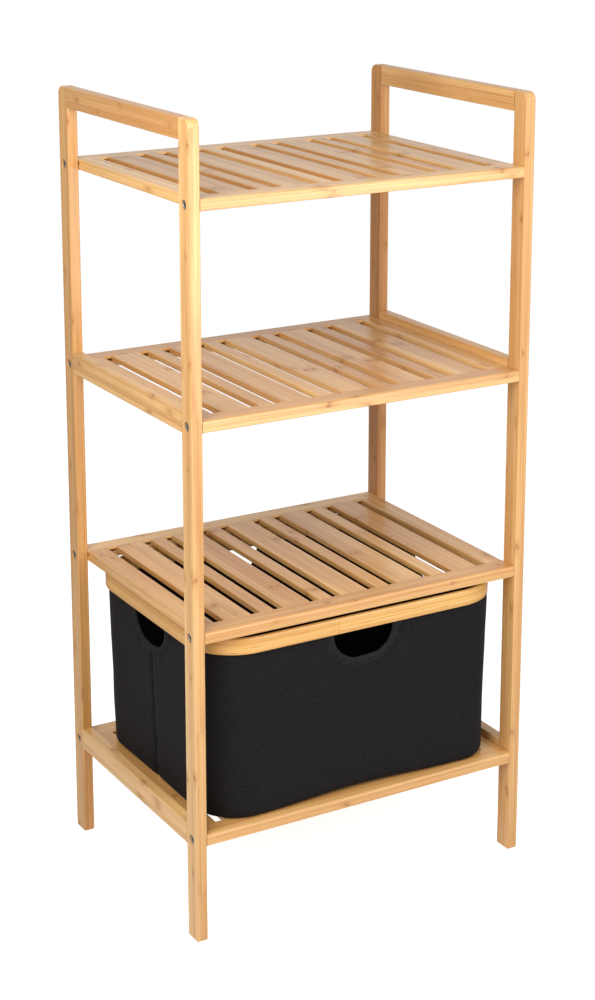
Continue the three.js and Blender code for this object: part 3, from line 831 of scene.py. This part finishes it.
def side_seam(place, height):
    """The sewn seam down a side wall: a narrow crease with one edge lapped over, drawn in at its foot."""
    lower = (1 - height_share(height)) ** 3
    wander = 0.5 * MM * math.sin(height * 70)
    line = place + wander
    crease = -SEAM_CREASE * bump_of(line, width=1.5 * MM)
    if line > 0:
        lapped = -SEAM_LAP * math.exp(-line / (7 * MM))
    else:
        lapped = SEAM_ROLL * math.exp(line / (8 * MM))
    gathers = math.sin(place * 700 + height * 160)
    pucker = SEAM_PUCKER * lower * bump_of(place, width=14 * MM) * gathers
    drawn_in = SEAM_DRAW * lower * bump_of(place, width=9 * MM)
    return crease + lapped + pucker - drawn_in


def cloth_relief(core, normal, wall, place, height):
    """How far the cloth stands out from its plain shape."""
    share = height_share(height)
    middle = math.sin(math.pi * share)
    spot = Vector((core.x + normal.x * CORNER_RADIUS, core.y + normal.y * CORNER_RADIUS, height))
    broad = noise.noise(spot * 9.0)
    drape = noise.noise(Vector((spot.x * 26, spot.y * 26, height * 7)))
    fine = noise.noise(spot * 34.0 + Vector((4, 1, 7)))
    relief = (BROAD_SWELL * broad + DRAPE * drape + FINE_DENTS * fine) * middle
    if wall is None:
        towards_middle = 2 * min(abs(normal.x), abs(normal.y)) / max(abs(normal.x), abs(normal.y), MM)
        fullness = RIGHT_CORNER_FULLNESS if normal.x > 0 else CORNER_FULLNESS * share
        return relief + fullness * min(1.0, towards_middle)
    relief += middle_share(wall, place) * (WALL_SWELL * middle - FOOT_TUCK * (1 - share) ** 2)
    from_hole = hole_distance(wall, place, height)
    from_hem = from_hole - HEM_WIDTH
    if wall in SIDE_WALLS:
        below_hem = min(max(from_hem / (2 * MM), 0.0), 1.0)
        relief += side_seam(place, height) * below_hem
    angle = math.atan2(RIM_BOTTOM - height, place)
    ripple = math.sin(angle * 19 + 4 * noise.noise(spot * 30))
    relief += HEM_RIPPLE * bump_of(from_hem - 3 * MM, width=6 * MM) * ripple
    relief -= HEM_CREASE * bump_of(from_hem - 1.2 * MM, width=1.6 * MM)
    return relief


def hole_distance(wall, place, height):
    """A rough distance from the hand hole's edge, positive outside the hole."""
    half_width = HOLE_HALF_WIDTHS[wall]
    down = (RIM_BOTTOM - height) / HOLE_DEPTH
    out = abs(place) / half_width
    if down <= 0:
        return (out - 1) * half_width
    reach = (out ** HOLE_SQUARENESS + down ** HOLE_SQUARENESS) ** (1 / HOLE_SQUARENESS)
    return (reach - 1) * (half_width * out + HOLE_DEPTH * down) / max(out + down, 1e-6)


def wall_inset(height, edge_radius):
    """How far the cloth's outer face lies behind the rim's, with the rounded lower edge."""
    inset = BAG_INSET_BOTTOM + (BAG_INSET_TOP - BAG_INSET_BOTTOM) * height_share(height)
    low = (height - BAG_BOTTOM) / edge_radius
    if low < 1:
        inset += edge_radius * (1 - math.sqrt(max(0.0, 1 - (1 - low) ** 2)))
    return inset


def cloth_point(core, normal, wall, place, height, proud=0.0):
    """A point on the cloth's outer face, or a little proud of it."""
    edge_radius = BAG_CORNER_EDGE + (BAG_MIDDLE_EDGE - BAG_CORNER_EDGE) * middle_share(wall, place)
    relief = cloth_relief(core, normal, wall, place, height)
    reach = CORNER_RADIUS - wall_inset(height, edge_radius) + relief + proud
    point = core + normal * reach
    return Vector((BASKET_CENTRE.x + CLOTH_SHIFT + point.x, BASKET_CENTRE.y + point.y, height))


BAG_CORNER_STEPS = 18
BAG_ROWS = 54
ROW_CROWDING = 1.35
BOTTOM_RINGS = 12
BOTTOM_LIFT = 0.4 * MM
HOLE_STEPS = 22
PLACE_STEP = 4.5 * MM
SEAM_PLACES = [0.6 * MM, 1.2 * MM, 1.9 * MM]
JUST_OUTSIDE = 1.0008


def bag_places(wall, half):
    """Places along one wall: close together at the hand hole's steep sides and at the seam."""
    hole = HOLE_HALF_WIDTHS[wall]
    outer_steps = max(4, round((half - hole) / PLACE_STEP))
    outer = [hole + (half - hole) * i / outer_steps for i in range(1, outer_steps + 1)]
    inner = [hole * math.sin(math.pi / 2 * i / HOLE_STEPS) for i in range(1, HOLE_STEPS + 1)]
    right = sorted(SEAM_PLACES + inner + [hole * JUST_OUTSIDE] + outer)
    return [-place for place in reversed(right)] + [0.0] + right


def build_bag():
    """The cloth shell: walls that dip at the four hand holes, rounded lower edge, and the bottom."""
    path = core_path(BAG_CORNER_STEPS, side_places=bag_places)
    rows = BAG_ROWS
    columns = len(path)
    vertices = []
    for core, normal, wall, place in path:
        top = cloth_top(wall, place)
        for row in range(rows + 1):
            share = row / rows
            height = BAG_BOTTOM + (top - BAG_BOTTOM) * share ** ROW_CROWDING
            vertices.append(cloth_point(core, normal, wall, place, height))
    faces = []
    stride = rows + 1
    for column in range(columns):
        after = (column + 1) % columns
        for row in range(rows):
            faces.append((column * stride + row, after * stride + row,
                          after * stride + row + 1, column * stride + row + 1))
    start = len(vertices)
    centre = Vector((BASKET_CENTRE.x, BASKET_CENTRE.y, BAG_BOTTOM + BOTTOM_LIFT))
    for ring_number in range(1, BOTTOM_RINGS):
        share = ring_number / BOTTOM_RINGS
        for column in range(columns):
            edge = Vector(vertices[column * stride])
            vertices.append(edge.lerp(centre, share))
    for ring_number in range(BOTTOM_RINGS - 1):
        for column in range(columns):
            after = (column + 1) % columns
            here = start + ring_number * columns
            if ring_number == 0:
                faces.append((column * stride, here + column, here + after, after * stride))
            else:
                before = here - columns
                faces.append((before + column, here + column, here + after, before + after))
    vertices.append(centre)
    innermost = start + (BOTTOM_RINGS - 2) * columns
    for column in range(columns):
        faces.append((innermost + column, len(vertices) - 1, innermost + (column + 1) % columns))
    piece = mesh_piece("basket_bag_cloth", vertices, faces, BAG_CLOTH)
    travelled = [0.0]
    for a, b in zip(path, path[1:] + path[:1]):
        step = (b[0] + b[1] * CORNER_RADIUS - a[0] - a[1] * CORNER_RADIUS).length
        travelled.append(travelled[-1] + step)
    wall_count = columns * stride

    def cloth_map(face, vertex):
        if vertex >= wall_count or face >= columns * rows:
            spot = vertices[vertex]
            return (spot[0], spot[1])
        column = vertex // stride
        at_seam = face // rows == columns - 1 and column == 0
        return (travelled[columns] if at_seam else travelled[column], vertices[vertex][2])

    set_map(piece, "cloth", cloth_map)
    thicken = piece.modifiers.new("cloth_thickness", "SOLIDIFY")
    thicken.thickness = CLOTH_THICKNESS
    thicken.offset = -1
    thicken.use_even_offset = False
    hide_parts("basket_bag")
    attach(piece, "basket")


HEM_STEPS = 150
HEM_SLACK = 0.9 * MM
HEM_PUCKER = 0.80
HEM_PUCKER_START = 3
HEM_TUCK = 4 * MM
HEM_MAP_STEP = 1.25 * MM
HEM_BACK_SHIFT = 20 * MM
STITCH_LINE = 6.7 * MM
STITCH_PROUD = 0.3 * MM
STITCH_STEPS = 120
STITCH_END = 1 * MM


def hem_line(wall, offset, steps):
    """(place, height, outward direction) along a line that keeps an offset outside a hole's edge."""
    line = []
    half_width = HOLE_HALF_WIDTHS[wall]
    power = 2 / HOLE_SQUARENESS
    for i in range(steps + 1):
        angle = math.pi * i / steps
        across = math.copysign(abs(math.cos(angle)) ** power, math.cos(angle))
        down = math.sin(angle) ** power if 0 < i < steps else 0.0
        place = half_width * across
        depth = HOLE_DEPTH * down
        out = Vector((math.copysign(abs(across) ** (HOLE_SQUARENESS - 1), across) / half_width,
                      down ** (HOLE_SQUARENESS - 1) / HOLE_DEPTH)).normalized()
        line.append((place + offset * out.x, RIM_BOTTOM - depth - offset * out.y, out))
    return line


def wall_point(wall, place, height, proud):
    direction, normal, _, away = WALLS[wall]
    core = normal * away + direction * place
    return cloth_point(core, normal, wall, place, height, proud)


def hem_section():
    """The folded hem as (distance from the hole's edge, height above the cloth), in millimetres."""
    return [
        (9.4, -0.5), (9.6, 0.25), (9.2, 0.8), (8.2, 0.95), (7.2, 0.6), (6.7, -0.1), (6.2, 0.5),
        (5.2, 1.5), (3.2, 2.0), (1.2, 1.8), (0.0, 1.2), (-0.8, 0.2), (-1.0, -0.8), (-0.5, -2.1),
        (0.6, -2.7), (3.0, -2.75), (6.5, -2.6), (8.8, -2.5), (9.4, -2.1), (9.4, -1.3),
    ]


def build_hem(wall, name):
    """Cloth folded over a hand hole's edge and sewn down, puckered between the stitches."""
    section = hem_section()
    count = len(section)
    vertices = []
    for number, (place, height, out) in enumerate(hem_line(wall, 0.0, HEM_STEPS)):
        slack = HEM_SLACK * noise.noise(Vector((number * 0.06, wall * 5.0, 2.5)))
        place += slack * out.x
        height -= slack * out.y
        wave = math.sin(number * 0.95 + 5 * noise.noise(Vector((number * 0.07, wall, 0.5))))
        for from_edge, proud in section:
            offset = from_edge * MM
            x = place + offset * out.x
            z = min(height - offset * out.y, RIM_BOTTOM + HEM_TUCK)
            if proud > 0:
                proud += HEM_PUCKER * wave * min(max(from_edge, 0.0) / HEM_PUCKER_START, 1.0)
            vertices.append(wall_point(wall, x, z, proud * MM))
    faces = ring_faces(HEM_STEPS, count)
    last = HEM_STEPS * count
    faces.append(tuple(reversed(range(count))))
    faces.append(tuple(last + i for i in range(count)))
    # The hem takes the lighter cloth, partly its own tone and partly painted highlight.
    piece = mesh_piece(name, vertices, faces, HEM_CLOTH_WITH_PAINTED_HIGHLIGHT)

    def cloth_map(_, vertex):
        """The fold's back takes its own stretch of cloth."""
        from_edge, proud = section[vertex % count]
        behind = HEM_BACK_SHIFT if proud < -1 else 0
        return (vertex // count) * HEM_MAP_STEP, from_edge * MM + behind

    set_map(piece, "cloth", cloth_map)
    bm = bmesh.new()
    bm.from_mesh(piece.data)
    bmesh.ops.recalc_face_normals(bm, faces=bm.faces)
    bm.to_mesh(piece.data)
    bm.free()
    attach(piece, "basket")


def stitch_group():
    """Short rounded stitches along a curve, one after the other with a small gap."""
    tree = GeometryTree("stitch_line", [
        ("Pitch", "NodeSocketFloat", 3.4 * MM),
        ("Stitch Length", "NodeSocketFloat", 2.5 * MM),
        ("Thread Radius", "NodeSocketFloat", 0.28 * MM),
        ("Material", "NodeSocketMaterial", None),
    ])
    given = tree.given
    points = tree.add("GeometryNodeCurveToPoints", {"mode": "LENGTH"}, Curve=given["Geometry"],
                      Length=given["Pitch"])
    bead = tree.add("GeometryNodeMeshUVSphere", Segments=8, Rings=6, Radius=1.0).outputs[0]
    half = tree.math("MULTIPLY", given["Stitch Length"], 0.5)
    size = tree.join(given["Thread Radius"], given["Thread Radius"], half)
    placed = tree.add("GeometryNodeInstanceOnPoints", Points=points.outputs["Points"], Instance=bead,
                      Rotation=points.outputs["Rotation"], Scale=size)
    return tree.finish(placed.outputs[0], smooth=True)


def build_stitches(wall, name, group):
    """The line of stitches that holds a hem down, in the hem's hollow."""
    curve = bpy.data.curves.new(f"{name}_line", "CURVE")
    curve.dimensions = "3D"
    line = hem_line(wall, STITCH_LINE, STITCH_STEPS)
    shown = [(x, z) for x, z, _ in line if z < RIM_BOTTOM - STITCH_END]
    spline = curve.splines.new("POLY")
    spline.points.add(len(shown) - 1)
    for point, (x, z) in zip(spline.points, shown):
        point.co = (*wall_point(wall, x, z, STITCH_PROUD), 1)
    source = bpy.data.objects.new(f"{name}_source", curve)
    bpy.context.scene.collection.objects.link(source)
    piece = run_geometry_nodes(name, source, group, {"Material": THREAD})
    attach(piece, "basket")


def build_base_board():
    """The stiff board in the bag's bottom, covered in the same cloth, with a soft rounded edge."""
    low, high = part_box("basket_base_board")
    inset = HALF_WIDTH - (high.x - low.x) / 2
    path = core_path(corner_steps=10, side_steps=16)
    section = [(1.0, 0.0), (0.15, 0.5), (0.0, 1.4), (0.3, 2.4), (1.2, 2.9), (4.0, 3.0)]
    vertices = []
    for edge, height in section:
        for core, normal, _, _ in path:
            point = core + normal * (CORNER_RADIUS - inset - BOARD_SHRINK - edge * MM)
            vertices.append((BASKET_CENTRE.x + point.x, BASKET_CENTRE.y + point.y, low.z + height * MM))
    columns = len(path)
    faces = ring_faces(len(section) - 1, columns)
    top = (len(section) - 1) * columns
    faces.append(tuple(top + i for i in range(columns)))
    faces.append(tuple(reversed(range(columns))))
    piece = mesh_piece("basket_base_cover", vertices, faces, BAG_CLOTH)
    set_map(piece, "cloth", lambda face, vertex: (vertices[vertex][0], vertices[vertex][1]))
    smooth_by_angle(piece, degrees=40)
    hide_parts("basket_base_board")
    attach(piece, "basket")


# ---- kept CAD nodes ---------------------------------------------------------
def cover_kept_nodes():
    """Every wooden node that stays gets bamboo with its fibres along the board."""
    for name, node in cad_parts.items():
        # The rear posts take the darker copy of the bamboo, painted shade for their weaker light.
        if name.startswith("post_rear"):
            material = SHADED_REAR_UPRIGHT_BAMBOO
        elif name.startswith("post"):
            material = UPRIGHT_BAMBOO
        elif name.startswith(("handle_rail", "middle_side_rail", "lower_side_rail")) or "end_board" in name:
            material = DEEP_BAMBOO
        elif name.endswith(("front_rail", "rear_rail")):
            material = CROSS_BAMBOO
        else:
            continue
        node.data.materials.clear()
        node.data.materials.append(material)


# ---- stage ------------------------------------------------------------------
FLOOR_HALF = 40.0
FLOOR_GLOW = 0.12
FLOOR_EXTRA_GLOW = 0.68
AMBIENT = 0.24
MIRRORED = 0.9
LIGHT_AIM = Vector((0, 0, 0.5))
SOFT_BOX_SIZE = (0.7, 1.3)
COOL_LIGHT = (0.96, 1.0, 1.10)
LENS = 74.1
LENS_SHIFT = -0.20
CAMERA_PLACE = Vector((-1.2003, -2.0656, 1.2523))
CAMERA_AIM = Vector((0.0035, -0.0021, 0.6970))


def build_floor():
    """A pale studio floor: a slight glow on the object, and more for the camera, so it looks white."""
    material, tree, surface = new_material("pale_floor")
    seen = tree.add("ShaderNodeLightPath").outputs["Is Camera Ray"]
    glow = tree.math("MULTIPLY_ADD", seen, FLOOR_EXTRA_GLOW, FLOOR_GLOW)
    tree.fill(surface, Base_Color=(0.82, 0.82, 0.82, 1), Roughness=0.9, Specular_IOR_Level=0.1,
              Emission_Color=(1, 1, 1, 1), Emission_Strength=glow)
    half = FLOOR_HALF
    corners = [(-half, -half, 0), (half, -half, 0), (half, half, 0), (-half, half, 0)]
    floor = mesh_piece("floor", corners, [(0, 1, 2, 3)], material, smooth=False)


def build_world():
    """White all round; its diffuse light is held back so that the soft boxes shape the object."""
    world = bpy.data.worlds.new("soft_studio")
    world.use_nodes = True
    bpy.context.scene.world = world
    tree = Tree(world.node_tree)
    background = world.node_tree.nodes["Background"]
    tree.fill(background, Color=(1.0, 1.0, 1.0, 1))
    rays = tree.add("ShaderNodeLightPath")
    strength = tree.math("MULTIPLY_ADD", rays.outputs["Is Diffuse Ray"], AMBIENT - 1.0, 1.0)
    strength = tree.math("MULTIPLY_ADD", rays.outputs["Is Glossy Ray"], MIRRORED - 1.0, strength)
    tree.fill(background, Strength=strength)


def soft_box(name, azimuth, elevation, distance, power, colour=(1.0, 1.0, 1.0)):
    """A soft box turned to the object; azimuth 0 is straight in front and 90 is on the left."""
    light = bpy.data.lights.new(name, "AREA")
    light.shape = "RECTANGLE"
    light.size, light.size_y = SOFT_BOX_SIZE
    light.energy = power
    light.color = colour
    lamp = bpy.data.objects.new(name, light)
    lamp.visible_camera = False
    turn = math.radians(azimuth)
    rise = math.radians(elevation)
    level = math.cos(rise)
    towards = Vector((-math.sin(turn) * level, -math.cos(turn) * level, math.sin(rise)))
    lamp.location = LIGHT_AIM + towards * distance
    lamp.rotation_euler = towards.to_track_quat("Z", "Y").to_euler()
    bpy.context.scene.collection.objects.link(lamp)


def build_camera():
    camera = bpy.data.cameras.new("camera")
    camera.sensor_width = 36
    camera.lens = LENS
    camera.shift_y = LENS_SHIFT
    camera.clip_end = 100
    holder = bpy.data.objects.new("camera", camera)
    holder.location = CAMERA_PLACE
    holder.rotation_euler = (CAMERA_AIM - CAMERA_PLACE).to_track_quat("-Z", "Y").to_euler()
    bpy.context.scene.collection.objects.link(holder)
    bpy.context.scene.camera = holder


def build_stage():
    build_floor()
    build_world()
    build_camera()
    soft_box("front_box", azimuth=-20, elevation=20, distance=1.10, power=9.7, colour=COOL_LIGHT)
    soft_box("left_box", azimuth=52, elevation=31, distance=1.2, power=17.0)
    bpy.context.scene.view_settings.view_transform = "Standard"


build_stage()
cover_kept_nodes()
slat_rows = slat_row_group()
for seed, shelf in enumerate(SHELVES, start=FIRST_BOARD_SEED):
    build_slats(shelf, seed, slat_rows)
build_bolts()
build_rim()
build_bag()
stitch_lines = stitch_group()
for number, wall_name in enumerate(WALL_NAMES):
    build_hem(number, f"{wall_name}_hand_hole_hem")
    build_stitches(number, f"{wall_name}_hand_hole_stitches", stitch_lines)
build_base_board()
